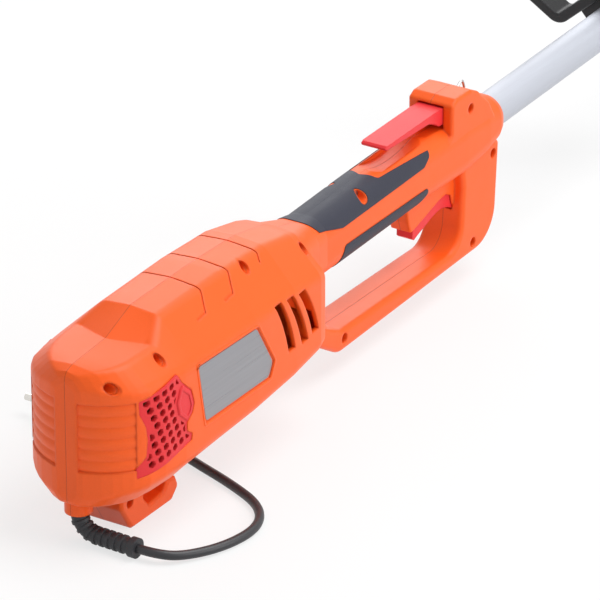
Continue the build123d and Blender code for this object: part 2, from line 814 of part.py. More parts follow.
def bolt_plane(v):
    return Plane(
        origin=(clamp_x + 0.5 * clamp_long, -roll_s * v, roll_c * v), x_dir=(0, roll_c, roll_s), z_dir=(
            0, -roll_s, roll_c,
        )
    )


clamp_half = 30.0
bolt_u = 23.5
sleeve_r = tube_r + run_gap + sleeve_wall
with BuildPart() as loop_handle:
    with BuildSketch(handle_plane(handle_x)) as loop_ring:
        with BuildLine():
            Polyline(
                (-handle_base_half, handle_base), (handle_base_half, handle_base),
                (handle_top_half, handle_base + handle_high), (-handle_top_half, handle_base + handle_high),
                close=True,
            )
        make_face()
        fillet(loop_ring.vertices().filter_by(lambda v: v.Y < handle_base + 20), 11)
        fillet(loop_ring.vertices().filter_by(lambda v: v.Y > handle_base + 60), 24)
        offset(loop_ring.face(), amount=-handle_bar, kind=Kind.ARC, mode=Mode.SUBTRACT)
    extrude(amount=handle_deep)
    fillet(loop_handle.faces().sort_by(Axis.X)[0].edges(), 1.8)
    fillet(loop_handle.faces().sort_by(Axis.X)[-1].edges(), 1.8)
    with BuildSketch(handle_plane(handle_x + handle_deep - 3)):
        with Locations((0, handle_base + 0.5 * handle_bar)):
            Rectangle(2 * clamp_half, handle_bar)
    extrude(amount=clamp_x + clamp_long - handle_x - handle_deep + 3)
    with BuildSketch(handle_plane(clamp_x)):
        with Locations((0, 0.5 * (handle_base + 0.8 + 1))):
            Rectangle(2 * clamp_half, handle_base - 0.8 + 1)
        Circle(sleeve_r + run_gap, mode=Mode.SUBTRACT)
    extrude(amount=clamp_long)
    with BuildSketch(bolt_plane(-2)):
        with Locations((bolt_u, 0), (-bolt_u, 0)):
            Circle(2.5 + run_gap)
    extrude(amount=40, mode=Mode.SUBTRACT)

with BuildPart() as handle_cap:
    with BuildSketch(handle_plane(clamp_x)):
        Circle(sleeve_r + 4.5)
        with Locations((0, 20)):
            Rectangle(60, 41.6, mode=Mode.SUBTRACT)
        with Locations((0, -4.9)):
            Rectangle(2 * clamp_half, 8.2)
        Circle(sleeve_r + run_gap, mode=Mode.SUBTRACT)
    extrude(amount=clamp_long)
    with BuildSketch(bolt_plane(-12)):
        with Locations((bolt_u, 0), (-bolt_u, 0)):
            Circle(2.5 + run_gap)
    extrude(amount=20, mode=Mode.SUBTRACT)

with BuildPart() as handle_sleeve:
    with BuildSketch(handle_plane(clamp_x - 1.5)):
        Circle(sleeve_r)
        Circle(tube_r + run_gap, mode=Mode.SUBTRACT)
    extrude(amount=clamp_long + 3)

with BuildPart() as clamp_bolts:
    with BuildSketch(bolt_plane(-20)):
        with Locations((-bolt_u, 0)):
            Circle(2.5)
    extrude(amount=20 + handle_base + handle_bar)
    with BuildSketch(bolt_plane(-9)):
        with Locations((bolt_u, 0)):
            Circle(2.5)
    extrude(amount=9 + handle_base + handle_bar)
    with BuildSketch(bolt_plane(-9)):
        with Locations((bolt_u, 0)):
            RegularPolygon(4.6, 6)
    extrude(amount=-3.6)
    with BuildSketch(bolt_plane(handle_base + handle_bar)):
        with Locations((bolt_u, 0), (-bolt_u, 0)):
            RegularPolygon(4.6, 6)
    extrude(amount=3.6)

with BuildPart() as wing_knob:
    with BuildSketch(bolt_plane(-9 - free_gap)):
        with Locations((-bolt_u, 0)):
            Circle(7)
            Circle(2.5 + run_gap, mode=Mode.SUBTRACT)
    extrude(amount=-9)
    with BuildSketch(bolt_plane(-18 - free_gap)):
        with Locations((-bolt_u, 0)):
            Circle(7)
            SlotOverall(28, 6, rotation=90)
            Circle(2.5 + run_gap, mode=Mode.SUBTRACT)
    extrude(amount=-8)

# Gear head on the spindle's axis: radius outward, d along the spindle towards the ground
gear_at = Vector(gear_x, 0, 0)
spin = Vector(s_x, 0, s_z)
spin_axis = Axis(origin=gear_at, direction=spin)
turned = Plane(origin=gear_at, x_dir=(0, 1, 0), z_dir=(s_z, 0, -s_x))


def head_plane(d):
    return Plane(origin=gear_at + spin * d, x_dir=(-s_z, 0, s_x), z_dir=spin)


neck_r = 18.0
flange_r = 28.0
with BuildPart() as gear_housing:
    with BuildSketch(Plane.YZ.offset(tube_front - 44)):
        Circle(tube_r + 4.5)
    extrude(amount=44 + gear_ahead)
    with BuildSketch(turned) as gear_case:
        with BuildLine():
            Polyline(
                (0, -21), (12, -21), (21, -14), (22, 4), (20, 14), (neck_r, 19), (flange_r, guard_d - 4),
                (flange_r, guard_d), (neck_r, guard_d), (neck_r, 41), (0, 41), close=True,
            )
        make_face()
    revolve(axis=spin_axis)
    with BuildSketch(Plane.XY.offset(-tube_r - 12)):
        with Locations((tube_front - 30, 0)):
            Rectangle(22, 16)
    extrude(amount=12)
    with BuildSketch(Plane.YZ.offset(tube_front - 46)):
        Circle(tube_r + run_gap)
    extrude(amount=46, mode=Mode.SUBTRACT)
    with BuildSketch(Plane.YZ.offset(tube_front - 1)):
        Circle(tube_r - tube_wall - 0.4)
    extrude(amount=gear_ahead, mode=Mode.SUBTRACT)
    with BuildSketch(turned):
        with BuildLine():
            Polyline(
                (0, -13), (16, -10), (17, 13), (bearing_r + run_gap, 13), (bearing_r + run_gap, 42),
                (0, 42), close=True,
            )
        make_face()
    revolve(axis=spin_axis, mode=Mode.SUBTRACT)
    with BuildSketch(Plane.XZ):
        with Locations((tube_front - 30, -tube_r - 8)):
            Circle(2.5 + run_gap)
    extrude(amount=20, both=True, mode=Mode.SUBTRACT)
    with BuildSketch(head_plane(guard_d - 5)):
        with PolarLocations(23, 3, start_angle=30):
            Circle(2.0 + run_gap)
    extrude(amount=8, mode=Mode.SUBTRACT)

with BuildPart() as gear_clamp_bolt:
    with BuildSketch(Plane.XZ.offset(-8)):
        with Locations((tube_front - 30, -tube_r - 8)):
            Circle(2.5)
    extrude(amount=16)
    with BuildSketch(Plane.XZ.offset(8)):
        with Locations((tube_front - 30, -tube_r - 8)):
            RegularPolygon(4.4, 6)
    extrude(amount=3.5)
    with BuildSketch(Plane.XZ.offset(-8)):
        with Locations((tube_front - 30, -tube_r - 8)):
            RegularPolygon(4.4, 6)
    extrude(amount=-3.5)

# Bevel pair, apex at the crossing of the two axes
shaft_angle = 90 + head_tilt
gear_ratio = 1.4
cone_1 = atan2(sin(radians(shaft_angle)), gear_ratio + cos(radians(shaft_angle)))
cone_2 = radians(shaft_angle) - cone_1
with BuildPart() as bevel_pinion:
    with BuildSketch(Plane.XZ):
        with BuildLine():
            Polyline(
                (pinion_back, drive_r), (pinion_back, (gear_x - pinion_back - 2) * tan(cone_1) - 0.3),
                (pinion_back + 2, (gear_x - pinion_back - 2) * tan(cone_1) - 0.3),
                (gear_x - 5.0, 5.0 * tan(cone_1) - 0.3), (gear_x - 5.0, drive_r), close=True,
            )
        make_face()
    revolve(axis=Axis.X)

gear_rim = 14.6
with BuildPart() as bevel_gear:
    with BuildSketch(turned):
        with BuildLine():
            Polyline(
                (spindle_r, 6.5 / tan(cone_2) + 0.5), (6.5, 6.5 / tan(cone_2) + 0.5),
                (gear_rim, gear_rim / tan(cone_2) + 0.5), (gear_rim, 7.5), (9, 12.4), (spindle_r, 12.4),
                close=True,
            )
        make_face()
    revolve(axis=spin_axis)

with BuildPart() as output_spindle:
    with BuildSketch(head_plane(3)):
        Circle(spindle_r)
    extrude(amount=66)

with BuildPart() as spindle_bearings:
    for d0 in (13, 31):
        with BuildSketch(head_plane(d0)):
            Circle(bearing_r)
            Circle(spindle_r + run_gap, mode=Mode.SUBTRACT)
        extrude(amount=9)

# Debris guard, to the rear of the spindle
half_fan = 70.0
flat_fan = 14.0


def fan(r, a):
    return (-r * cos(radians(a)), r * sin(radians(a)))


def fan_mid(r, a, b):
    return fan(r, 0.5 * (a + b))


inner_r = guard_r - guard_wall
with BuildPart() as debris_guard:
    with BuildSketch(head_plane(guard_d)):
        with BuildLine():
            Line(fan(guard_r, -flat_fan), fan(guard_r, flat_fan))
            ThreePointArc(
                fan(guard_r, flat_fan), fan_mid(guard_r, flat_fan, half_fan), fan(guard_r, half_fan),
            )
            Line(fan(guard_r, half_fan), (-4, 33))
            ThreePointArc((-4, 33), (33, 0), (-4, -33))
            Line((-4, -33), fan(guard_r, -half_fan))
            ThreePointArc(
                fan(guard_r, -half_fan), fan_mid(guard_r, -half_fan, -flat_fan), fan(guard_r, -flat_fan),
            )
        make_face()
        Circle(neck_r + run_gap, mode=Mode.SUBTRACT)
        with PolarLocations(23, 3, start_angle=30):
            Circle(2.0 + run_gap, mode=Mode.SUBTRACT)
    extrude(amount=guard_wall)
    with BuildSketch(head_plane(guard_d + guard_wall)):
        with BuildLine():
            Line(fan(guard_r, -flat_fan), fan(guard_r, flat_fan))
            ThreePointArc(
                fan(guard_r, flat_fan), fan_mid(guard_r, flat_fan, half_fan), fan(guard_r, half_fan),
            )
            Line(fan(guard_r, half_fan), fan(inner_r, half_fan))
            ThreePointArc(
                fan(inner_r, half_fan), fan_mid(inner_r, flat_fan, half_fan), fan(inner_r, flat_fan),
            )
            Line(fan(inner_r, flat_fan), fan(inner_r, -flat_fan))
            ThreePointArc(
                fan(inner_r, -flat_fan), fan_mid(inner_r, -half_fan, -flat_fan), fan(inner_r, -half_fan),
            )
            Line(fan(inner_r, -half_fan), fan(guard_r, -half_fan))
            ThreePointArc(
                fan(guard_r, -half_fan), fan_mid(guard_r, -half_fan, -flat_fan), fan(guard_r, -flat_fan),
            )
        make_face()
    extrude(amount=guard_skirt)
    # Stiffening ribs on the top
    with BuildSketch(head_plane(guard_d)):
        for a in (-54, -27, 0, 27, 54):
            with Locations(Location((*fan(0.5 * (guard_r + 38), a), 0), (0, 0, -a))):
                Rectangle(guard_r - 46, 2.8)
    extrude(amount=-2.4)

cut_a = radians(half_fan)
with BuildPart() as line_cutter:
    with BuildSketch(head_plane(guard_d + guard_wall + 12)) as cutter_face:
        with BuildLine():
            Polyline(
                fan(guard_r - 0.5, half_fan), fan(guard_r - 22, half_fan),
                (
                    fan(guard_r - 22, half_fan)[0] + 1.6 * sin(cut_a),
                    fan(guard_r - 22, half_fan)[1] + 1.6 * cos(cut_a),
                ),
                (
                    fan(guard_r - 0.5, half_fan)[0] + 1.6 * sin(cut_a),
                    fan(guard_r - 0.5, half_fan)[1] + 1.6 * cos(cut_a),
                ),
                close=True,
            )
        make_face()
    extrude(amount=24)

with BuildPart() as guard_screws:
    with BuildSketch(head_plane(guard_d - 4)):
        with PolarLocations(23, 3, start_angle=30):
            Circle(2.0)
    extrude(amount=4 + guard_wall)
    with BuildSketch(head_plane(guard_d + guard_wall)):
        with PolarLocations(23, 3, start_angle=30):
            Circle(4.0)
    extrude(amount=2.8)

# Bump-feed cutting head
spool_deep = 40.0
cup_end = spool_top + spool_deep
drum_top = spool_top + 10 + bump_travel + 3
eye_d = drum_top + 11.0
with BuildPart() as spool_housing:
    with BuildSketch(turned):
        with BuildLine():
            Polyline(
                (spindle_r, spool_top), (13, spool_top), (16, spool_top + 6), (spool_r - 5, spool_top + 7),
                (spool_r, spool_top + 11), (spool_r, cup_end), (spool_r - 3, cup_end),
                (spool_r - 3, spool_top + 12),
                (spool_r - 5, spool_top + 10), (10, spool_top + 10), (10, spool_top + 23),
                (spindle_r, spool_top + 23),
                close=True,
            )
        make_face()
    revolve(axis=spin_axis)
    with BuildSketch(Plane(origin=gear_at + spin * eye_d, x_dir=spin, z_dir=(0, 1, 0))):
        Circle(4.2)
    extrude(amount=60, both=True, mode=Mode.SUBTRACT)
    with BuildSketch(head_plane(spool_top + 13)):
        with PolarLocations(spool_r + 4.0, 12, start_angle=15):
            Circle(5.0)
    extrude(amount=spool_deep, mode=Mode.SUBTRACT)

with BuildPart() as spool_cover:
    with BuildSketch(turned):
        with BuildLine():
            Polyline(
                (25, cup_end), (spool_r, cup_end), (spool_r, cup_end + 2), (spool_r - 6, cup_end + 6),
                (25, cup_end + 6),
                close=True,
            )
        make_face()
    revolve(axis=spin_axis)

with BuildPart() as line_spool:
    with BuildSketch(turned):
        with BuildLine():
            Polyline(
                (11, drum_top), (spool_r - 6, drum_top), (spool_r - 6, drum_top + 2), (19, drum_top + 2),
                (19, drum_top + 20), (spool_r - 6, drum_top + 20), (spool_r - 6, drum_top + 22),
                (11, drum_top + 22),
                close=True,
            )
        make_face()
    revolve(axis=spin_axis)

with BuildPart() as line_winding:
    with BuildSketch(turned):
        with BuildLine():
            Polyline(
                (19, drum_top + 2), (36, drum_top + 2), (36, drum_top + 20), (19, drum_top + 20),
                close=True,
            )
        make_face()
    revolve(axis=spin_axis)

with BuildPart() as bump_knob:
    with BuildSketch(turned) as knob_half:
        with BuildLine():
            Polyline(
                (0, drum_top + 22), (23.5, drum_top + 22), (23.5, cup_end + 12), (17, cup_end + 17),
                (0, cup_end + 19),
                close=True,
            )
        make_face()
        fillet(knob_half.vertices().filter_by(lambda v: v.X > 5 and v.Y > cup_end), 3)
    revolve(axis=spin_axis)

with BuildPart() as line_eyelets:
    for side in (1, -1):
        with BuildSketch(
            Plane(origin=gear_at + spin * eye_d, x_dir=spin, z_dir=(0, side, 0)).offset(spool_r - 3.5),
        ):
            Circle(4.2)
            Circle(1.6, mode=Mode.SUBTRACT)
        extrude(amount=6)

with BuildPart() as cutting_line:
    for side in (1, -1):
        with BuildSketch(Plane(origin=gear_at + spin * eye_d, x_dir=spin, z_dir=(0, side, 0)).offset(36)):
            Circle(1.2)
        extrude(amount=46)

# Mains lead: boot, cord and plug on the floor
boot_z = floor_z(boot_x) + boot_r + 0.9
boot_end = Vector(boot_x - 1.0, -43.0, boot_z)
with BuildLine() as boot_line:
    FilletPolyline((boot_x, 0, sole_z + 2), (boot_x, 0, boot_z), boot_end, radius=boss_z - boot_z)
collars = [0.26, 0.34, 0.42, 0.50, 0.58, 0.66, 0.74, 0.82]
with BuildPart() as cord_boot:
    with BuildSketch(Plane(origin=boot_line.line @ 0, z_dir=boot_line.line % 0)):
        Circle(boot_r - 0.7)
    sweep(path=boot_line.line)
    with BuildSketch(Plane.XY.offset(sole_z + 2)):
        with Locations((boot_x, 0)):
            Circle(boot_r)
    extrude(amount=boss_z - sole_z - 2.5)
    for t in collars:
        with BuildSketch(Plane(origin=boot_line.line @ t, z_dir=boot_line.line % t)):
            Circle(boot_r)
        extrude(amount=2.0)
    with BuildSketch(Plane(origin=boot_end, z_dir=boot_line.line % 1)):
        Circle(boot_r + 0.6)
    extrude(amount=-4.5)

plug_x = -367.5
plug_z = floor_z(plug_x) + 0.5 * plug_high + 0.9
lay = cord_r + 0.1
cord_points = [
    (boot_end.X, boot_end.Y, boot_end.Z),
    (boot_end.X - 11.5 / 43, boot_end.Y - 11.5, boot_z),
    (-491.5, -68, floor_z(-491.5) + lay + 1.2),
    (-464, -82, floor_z(-464) + lay),
    (-432, -86, floor_z(-432) + lay),
    (-408, -72, floor_z(-408) + lay),
    (-393, -42, floor_z(-393) + lay),
    (-380, -6, floor_z(-380) + lay),
    (-371, 24, floor_z(-371) + lay + 3),
    (plug_x, 46, plug_z),
    (plug_x, 66, plug_z),
]


def bend_radii(points):
    radii = []
    for a, b, c in zip(points, points[1:], points[2:]):
        p = Vector(*b) - Vector(*a)
        q = Vector(*c) - Vector(*b)
        turn = radians(p.get_angle(q))
        radii.append(0.45 * min(p.length, q.length) / tan(0.5 * turn))
    return radii


cord_radii = bend_radii(cord_points)
with BuildLine() as cord_line:
    FilletPolyline(*cord_points, radius=cord_radii)
with BuildPart() as power_cord:
    with BuildSketch(Plane(origin=cord_line.line @ 0, z_dir=cord_line.line % 0)):
        Circle(cord_r)
    sweep(path=cord_line.line)


def plug_plane(y):
    return Plane(origin=(plug_x, y, plug_z), x_dir=(1, 0, 0), z_dir=(0, 1, 0))


with BuildSketch(plug_plane(66)) as plug_tail:
    RectangleRounded(12, 12, 5.5)
with BuildSketch(plug_plane(82)) as plug_waist:
    RectangleRounded(26, plug_high - 6, 8)
with BuildSketch(plug_plane(103)) as plug_front:
    RectangleRounded(36, plug_high, 10)
with BuildPart() as plug_body:
    loft([plug_tail.sketch, plug_waist.sketch, plug_front.sketch], ruled=True)

with BuildPart() as plug_pins:
    with BuildSketch(plug_plane(103)):
        with Locations((0.5 * pin_pitch, 0), (-0.5 * pin_pitch, 0)):
            Circle(pin_r)
    extrude(amount=pin_long)

save(housing_right, "housing_right")
save(housing_left, "housing_left")
save(grip_pad_upper_right, "grip_pad_upper_right")
save(grip_pad_lower_right, "grip_pad_lower_right")
save(grip_pad_upper_left, "grip_pad_upper_left")
save(grip_pad_lower_left, "grip_pad_lower_left")
save(vent_grille_right, "vent_grille_right")
save(vent_grille_left, "vent_grille_left")
save(housing_screws, "housing_screws")
save(strap_eye, "strap_eye")
save(lock_lever, "lock_lever")
save(lever_pin, "lever_pin")
save(trigger, "trigger")
save(trigger_pin, "trigger_pin")
save(power_switch, "power_switch")
save(stator_core, "stator_core")
save(field_windings, "field_windings")
save(armature_core, "armature_core")
save(commutator, "commutator")
save(motor_shaft, "motor_shaft")
save(cooling_fan, "cooling_fan")
save(rear_bearing, "rear_bearing")
save(front_bearing, "front_bearing")
save(brush_holder_right, "brush_holder_right")
save(brush_holder_left, "brush_holder_left")
save(shaft_coupling, "shaft_coupling")
save(main_tube, "main_tube")
save(drive_shaft, "drive_shaft")
save(shaft_bushes, "shaft_bushes")
save(loop_handle, "loop_handle")
save(handle_cap, "handle_cap")
save(handle_sleeve, "handle_sleeve")
save(clamp_bolts, "clamp_bolts")
save(wing_knob, "wing_knob")
save(gear_housing, "gear_housing")
save(gear_clamp_bolt, "gear_clamp_bolt")
save(bevel_pinion, "bevel_pinion")
save(bevel_gear, "bevel_gear")
save(output_spindle, "output_spindle")
save(spindle_bearings, "spindle_bearings")
save(debris_guard, "debris_guard")
save(line_cutter, "line_cutter")
save(guard_screws, "guard_screws")
save(spool_housing, "spool_housing")
save(spool_cover, "spool_cover")
save(line_spool, "line_spool")
save(line_winding, "line_winding")
save(bump_knob, "bump_knob")
save(line_eyelets, "line_eyelets")
save(cutting_line, "cutting_line")
save(cord_boot, "cord_boot")
save(power_cord, "power_cord")
save(plug_body, "plug_body")
save(plug_pins, "plug_pins")
cord_long = sum(e.length for e in cord_line.edges())
print("bend radii", [round(r, 1) for r in cord_radii])
print(
    "cord length", round(cord_long, 1), "volume over section x length",
    power_cord.part.volume / cord_long / 28.274,
)
print("rest tilt", round(degrees(rest_tilt), 3))
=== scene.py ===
from collections import namedtuple
from math import cos, radians, sin

import bmesh
import bpy
from bpy.props import FloatProperty, FloatVectorProperty, PointerProperty
from mathutils import Matrix, Vector


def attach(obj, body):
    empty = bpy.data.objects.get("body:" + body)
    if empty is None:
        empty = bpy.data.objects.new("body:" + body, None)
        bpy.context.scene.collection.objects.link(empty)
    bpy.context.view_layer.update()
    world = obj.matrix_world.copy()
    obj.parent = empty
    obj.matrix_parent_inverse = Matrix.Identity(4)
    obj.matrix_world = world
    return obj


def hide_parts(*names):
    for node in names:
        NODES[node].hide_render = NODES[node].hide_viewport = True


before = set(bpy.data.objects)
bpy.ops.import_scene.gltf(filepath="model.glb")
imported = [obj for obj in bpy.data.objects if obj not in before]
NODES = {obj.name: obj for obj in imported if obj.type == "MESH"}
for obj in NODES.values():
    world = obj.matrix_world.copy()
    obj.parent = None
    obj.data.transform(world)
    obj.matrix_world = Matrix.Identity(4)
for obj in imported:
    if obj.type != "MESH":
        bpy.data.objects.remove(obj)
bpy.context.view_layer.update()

bl_info = {
    "name": "String Trimmer Finisher",
    "version": (1, 0, 0),
    "blender": (4, 5, 0),
    "location": "View3D > Sidebar > Trimmer",
    "description": "Finishes, trim pieces, lead, stage and camera of a corded string trimmer",
    "category": "Object",
}

# The pieces are drawn in the tube's own frame in millimetres, as the solids are: X forward along
# the tube, Y to the left, Z up. REST takes them to where the trimmer lies on the floor.
FOOT = Vector((-445.0, 0.0, -90.5))
LIE_ANGLE = radians(1.86144)
LIE = Matrix.Rotation(-LIE_ANGLE, 4, "Y")
MM = 0.001
REST = LIE @ Matrix.Scale(MM, 4) @ Matrix.Translation(-FOOT)

# Turn of a Mapping node that lays a pattern along the tube
ALONG_TUBE = (0.0, LIE_ANGLE, 0.0)


def colour_property(label, about, rgb):
    return FloatVectorProperty(
        name=label, description=about, subtype="COLOR", size=3, min=0.0, max=1.0, default=rgb
    )


def length_property(label, about, metres):
    return FloatProperty(
        name=label, description=about, unit="LENGTH", precision=5, default=metres
    )


class TrimmerColours(bpy.types.PropertyGroup):
    """Colours of the trimmer's finishes"""

    shell: colour_property("Shell", "Orange of the moulded housing", (0.92, 0.112, 0.010))
    control: colour_property("Controls", "Red of the lever, trigger and grille", (0.76, 0.040, 0.046))
    grip: colour_property("Grip", "Dark grey of the soft grip pads", (0.031, 0.033, 0.050))
    black: colour_property("Black plastic", "Loop handle, guard and line head", (0.016, 0.016, 0.018))
    lead: colour_property("Lead", "Rubber of the lead and its boot", (0.020, 0.020, 0.024))
    pins: colour_property("Plug pins", "Nickel of the plug's pins", (0.72, 0.70, 0.66))
    tube: colour_property("Tube", "Satin aluminium of the tube", (0.49, 0.51, 0.565))
    plate: colour_property("Plate", "Bare foil of the rating plate", (0.34, 0.34, 0.36))
    steel: colour_property("Steel", "Screws, pins and shafts", (0.52, 0.52, 0.53))
    copper: colour_property("Copper", "Windings and commutator", (0.60, 0.26, 0.11))
    cast: colour_property("Casting", "Gear case", (0.10, 0.10, 0.105))
    line: colour_property("Line", "Cutting line", (0.85, 0.36, 0.04))
    floor: colour_property("Floor", "Pale floor", (0.86, 0.86, 0.86))


class TrimmerSizes(bpy.types.PropertyGroup):
    """Sizes of the trim pieces and surface detail"""

    seam: length_property("Seam", "Half width of the line where the housing halves meet", 0.00024)
    soft_edge: length_property("Soft edge", "Rounding of the shell's moulded edges", 0.0022)
    grain: length_property("Grain", "Size of the moulded grain", 0.0009)
    plate_thick: length_property("Plate thickness", "Thickness of the rating plate", 0.0004)
    cord_radius: length_property("Cord radius", "Half the cord's diameter", 0.003)


def colours():
    return bpy.context.scene.trimmer_colours


def sizes():
    return bpy.context.scene.trimmer_sizes


def rgba(rgb):
    return (rgb[0], rgb[1], rgb[2], 1.0)


# Shader node groups

NOISE_MIDDLE = 0.5
TONE_PATCHES = 9.0
RUB_MARKS = 70.0
GRAIN_TONE = 0.10

SURFACE_OUTPUTS = [
    ("Colour", "NodeSocketColor"),
    ("Roughness", "NodeSocketFloat"),
    ("Height", "NodeSocketFloat"),
]


def new_group(name, inputs, outputs):
    tree = bpy.data.node_groups.new(name, "ShaderNodeTree")
    for label, kind, value in inputs:
        made = tree.interface.new_socket(name=label, in_out="INPUT", socket_type=kind)
        if value is not None:
            made.default_value = value
    for label, kind in outputs:
        tree.interface.new_socket(name=label, in_out="OUTPUT", socket_type=kind)
    return tree, tree.nodes.new("NodeGroupInput"), tree.nodes.new("NodeGroupOutput")


def give(tree, value, target):
    """Sets a number on a socket, or links an output to it."""
    if isinstance(value, (int, float)):
        target.default_value = value
    else:
        tree.links.new(value, target)


def math_node(tree, operation, *values, clamp=False):
    node = tree.nodes.new("ShaderNodeMath")
    node.operation = operation
    node.use_clamp = clamp
    for value, target in zip(values, node.inputs):
        give(tree, value, target)
    return node.outputs[0]


def noise_node(tree, vector, scale, detail, roughness=0.55):
    node = tree.nodes.new("ShaderNodeTexNoise")
    node.inputs["Detail"].default_value = detail
    node.inputs["Roughness"].default_value = roughness
    tree.links.new(vector, node.inputs["Vector"])
    give(tree, scale, node.inputs["Scale"])
    return node.outputs["Fac"]


def spread_about(tree, noise, spread, level, clamp=False):
    """A level that the noise moves up and down by the spread."""
    centred = math_node(tree, "SUBTRACT", noise, NOISE_MIDDLE)
    return math_node(tree, "ADD", math_node(tree, "MULTIPLY", centred, spread), level, clamp=clamp)


def shaded(tree, colour, factor):
    node = tree.nodes.new("ShaderNodeVectorMath")
    node.operation = "SCALE"
    tree.links.new(colour, node.inputs[0])
    tree.links.new(factor, node.inputs["Scale"])
    return node.outputs[0]


def moulded_group():
    """Spark-eroded grain, slow changes of tone and faint rub marks of a moulded surface."""
    tree, given, out = new_group(
        "moulded surface",
        [
            ("Vector", "NodeSocketVector", None),
            ("Base", "NodeSocketColor", (0.8, 0.8, 0.8, 1.0)),
            ("Grain scale", "NodeSocketFloat", 900.0),
            ("Tone spread", "NodeSocketFloat", 0.08),
            ("Gloss spread", "NodeSocketFloat", 0.10),
            ("Roughness", "NodeSocketFloat", 0.45),
        ],
        SURFACE_OUTPUTS,
    )
    inputs = given.outputs
    grain = noise_node(tree, inputs["Vector"], inputs["Grain scale"], 2.0, 0.6)
    patches = noise_node(tree, inputs["Vector"], TONE_PATCHES, 2.0)
    rubs = noise_node(tree, inputs["Vector"], RUB_MARKS, 4.0, 0.7)
    tone = spread_about(tree, patches, inputs["Tone spread"], 1.0)
    tone = spread_about(tree, grain, GRAIN_TONE, tone)
    gloss = spread_about(tree, rubs, inputs["Gloss spread"], inputs["Roughness"], clamp=True)
    tree.links.new(shaded(tree, inputs["Base"], tone), out.inputs["Colour"])
    tree.links.new(gloss, out.inputs["Roughness"])
    tree.links.new(grain, out.inputs["Height"])
    return tree


def drawn_group():
    """Fine lines left by drawing, turning or brushing, along the stretched way of the vector."""
    tree, given, out = new_group(
        "drawn lines",
        [
            ("Vector", "NodeSocketVector", None),
            ("Base", "NodeSocketColor", (0.7, 0.7, 0.7, 1.0)),
            ("Line spread", "NodeSocketFloat", 0.10),
            ("Roughness", "NodeSocketFloat", 0.35),
        ],
        SURFACE_OUTPUTS,
    )
    inputs = given.outputs
    lines = noise_node(tree, inputs["Vector"], 1.0, 4.0, 0.65)
    tone = spread_about(tree, lines, inputs["Line spread"], 1.0)
    gloss = spread_about(tree, lines, inputs["Line spread"], inputs["Roughness"], clamp=True)
    tree.links.new(shaded(tree, inputs["Base"], tone), out.inputs["Colour"])
    tree.links.new(gloss, out.inputs["Roughness"])
    tree.links.new(lines, out.inputs["Height"])
    return tree


def group_once(name, maker):
    return bpy.data.node_groups.get(name) or maker()


# Materials

SHELL_ROUGHNESS = 0.40
SHELL_SPECULAR = 0.30

# What a moulded finish is made of, for a finish that goes on from it
Moulded = namedtuple("Moulded", "material tree shader surface bump soften")


def start_material(name):
    material = bpy.data.materials.new(name)
    material.use_nodes = True
    tree = material.node_tree
    return material, tree, tree.nodes["Principled BSDF"]


def object_vector(tree, scale=None, turn=None):
    coord = tree.nodes.new("ShaderNodeTexCoord")
    if scale is None:
        return coord.outputs["Object"]
    mapping = tree.nodes.new("ShaderNodeMapping")
    mapping.inputs["Scale"].default_value = scale
    if turn:
        mapping.inputs["Rotation"].default_value = turn
    tree.links.new(coord.outputs["Object"], mapping.inputs["Vector"])
    return mapping.outputs["Vector"]


def place_surface(tree, shader, group, vector, **values):
    """Places a surface group in a material with its own values and links it to the shader."""
    surface = tree.nodes.new("ShaderNodeGroup")
    surface.node_tree = group
    for label, value in values.items():
        surface.inputs[label.replace("_", " ")].default_value = value
    tree.links.new(vector, surface.inputs["Vector"])
    tree.links.new(surface.outputs["Colour"], shader.inputs["Base Color"])
    tree.links.new(surface.outputs["Roughness"], shader.inputs["Roughness"])
    return surface


def bump_to(tree, shader, height, depth):
    bump = tree.nodes.new("ShaderNodeBump")
    bump.inputs["Strength"].default_value = 1.0
    bump.inputs["Distance"].default_value = depth
    tree.links.new(height, bump.inputs["Height"])
    tree.links.new(bump.outputs["Normal"], shader.inputs["Normal"])
    return bump


def moulded(
    name, rgb, roughness, tone, gloss, grain=None, depth=0.00006, edge=0.0006, specular=0.5
):
    """A moulded plastic or rubber with softened edges."""
    material, tree, shader = start_material(name)
    shader.inputs["Specular IOR Level"].default_value = specular
    surface = place_surface(
        tree, shader, group_once("moulded surface", moulded_group), object_vector(tree),
        Base=rgba(rgb), Grain_scale=1.0 / (grain or sizes().grain), Tone_spread=tone,
        Gloss_spread=gloss, Roughness=roughness,
    )
    bump = bump_to(tree, shader, surface.outputs["Height"], depth)
    soften = tree.nodes.new("ShaderNodeBevel")
    soften.samples = 6
    soften.inputs["Radius"].default_value = edge
    tree.links.new(soften.outputs["Normal"], bump.inputs["Normal"])
    return Moulded(material, tree, shader, surface, bump, soften)


def drawn(name, rgb, roughness, stretch, turn=None, spread=0.18, depth=0.00002, metallic=1.0):
    """A metal with fine lines."""
    material, tree, shader = start_material(name)
    shader.inputs["Metallic"].default_value = metallic
    surface = place_surface(
        tree, shader, group_once("drawn lines", drawn_group), object_vector(tree, stretch, turn),
        Base=rgba(rgb), Line_spread=spread, Roughness=roughness,
    )
    bump_to(tree, shader, surface.outputs["Height"], depth)
    return material


def finish_nodes(material, *names):
    for name in names:
        mesh = NODES[name].data
        mesh.materials.clear()
        mesh.materials.append(material)


# Pieces

SHARP_ANGLE = radians(35.0)


def new_piece(name, bm, material, body):
    """Turns a bmesh in the tube's frame into a piece that rides on a body."""
    bmesh.ops.transform(bm, matrix=REST, verts=bm.verts)
    bmesh.ops.recalc_face_normals(bm, faces=bm.faces)
    mesh = bpy.data.meshes.new(name)
    bm.to_mesh(mesh)
    bm.free()
    mesh.shade_smooth()
    mesh.set_sharp_from_angle(angle=SHARP_ANGLE)
    mesh.materials.append(material)
    piece = bpy.data.objects.new(name, mesh)
    bpy.context.scene.collection.objects.link(piece)
    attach(piece, body)


def only(kind, items):
    return [item for item in items if isinstance(item, kind)]


